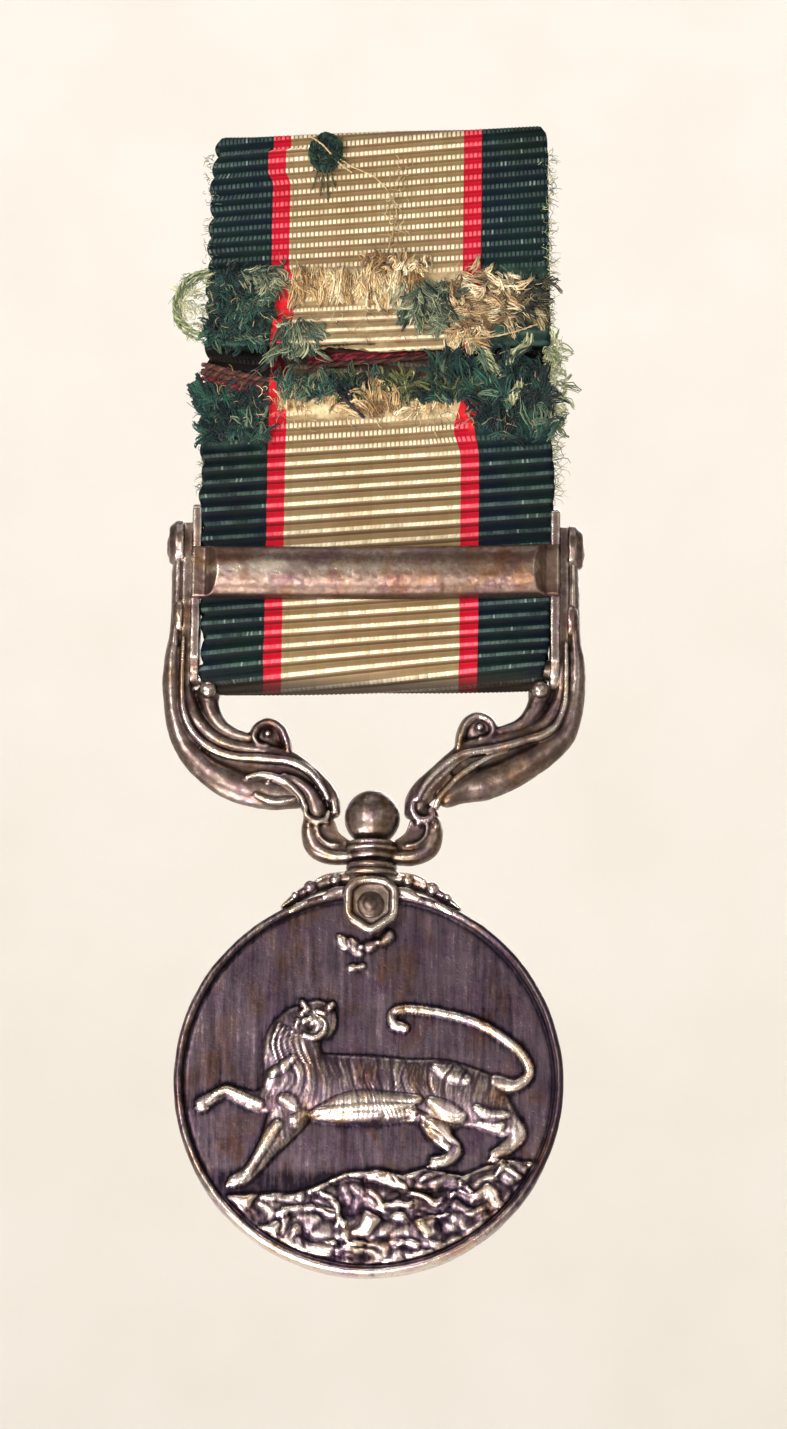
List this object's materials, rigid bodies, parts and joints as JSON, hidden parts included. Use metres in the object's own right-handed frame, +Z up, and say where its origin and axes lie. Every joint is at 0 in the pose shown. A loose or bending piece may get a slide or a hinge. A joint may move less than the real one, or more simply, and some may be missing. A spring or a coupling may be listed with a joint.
{
  "type": "miniature service medal",
  "caption": "Miniature silver service medal: relief disc on a swivel claw and scrolled suspender, with a plain clasp bar on a striped ribbon folded into a loop.",
  "frame": {"origin": "centre of the channel inside the ribbon's top fold, where a brooch bar passes", "axes": "+Z up along the hanging ribbon, -Y towards the front face of the medal, +X to the wearer's left as the front is seen (the viewer's right)"},
  "size_m": [0.02, 0.0033, 0.0555],
  "materials": {
    "disc_silver": "tarnished silver, dark in the recesses and bright on worn high points",
    "fitting_silver": "tarnished cast silver, rubbed bright on its ridges",
    "clasp_silver": "tarnished silver with fine scratches",
    "ribbon_weave": "ribbed silk, sand centre, narrow red lines and dark green edges, worn",
    "maroon_thread": "twisted thread, worn",
    "green_thread": "twisted thread, knotted"
  },
  "bodies": {
    "upper_loop": {"ribbon_upper": "ribbon_weave", "binding_thread": "maroon_thread", "knot_thread": "green_thread"},
    "suspension": {"ribbon_lower": "ribbon_weave", "suspender": "fitting_silver", "ribbon_bar": "fitting_silver", "clasp_bar": "clasp_silver", "side_plate_left": "clasp_silver", "side_plate_right": "clasp_silver", "upper_rivets": "fitting_silver", "lower_rivets": "fitting_silver"},
    "medal": {"medal_disc": "disc_silver", "claw": "fitting_silver", "claw_rivet": "fitting_silver", "swivel_pin": "fitting_silver", "swivel_collar": "fitting_silver"}
  },
  "joints": [
    {"name": "ribbon_flex", "type": "hinge", "parent": "upper_loop", "child": "suspension", "pos_m": [0, 0.00042, -0.0111], "axis": [-1, 0, 0], "range_deg": [-40, 20]},
    {"name": "disc_swivel", "type": "hinge", "parent": "suspension", "child": "medal", "pos_m": [0, 0, -0.03555], "axis": [0, 0, 1], "continuous": true}
  ]
}
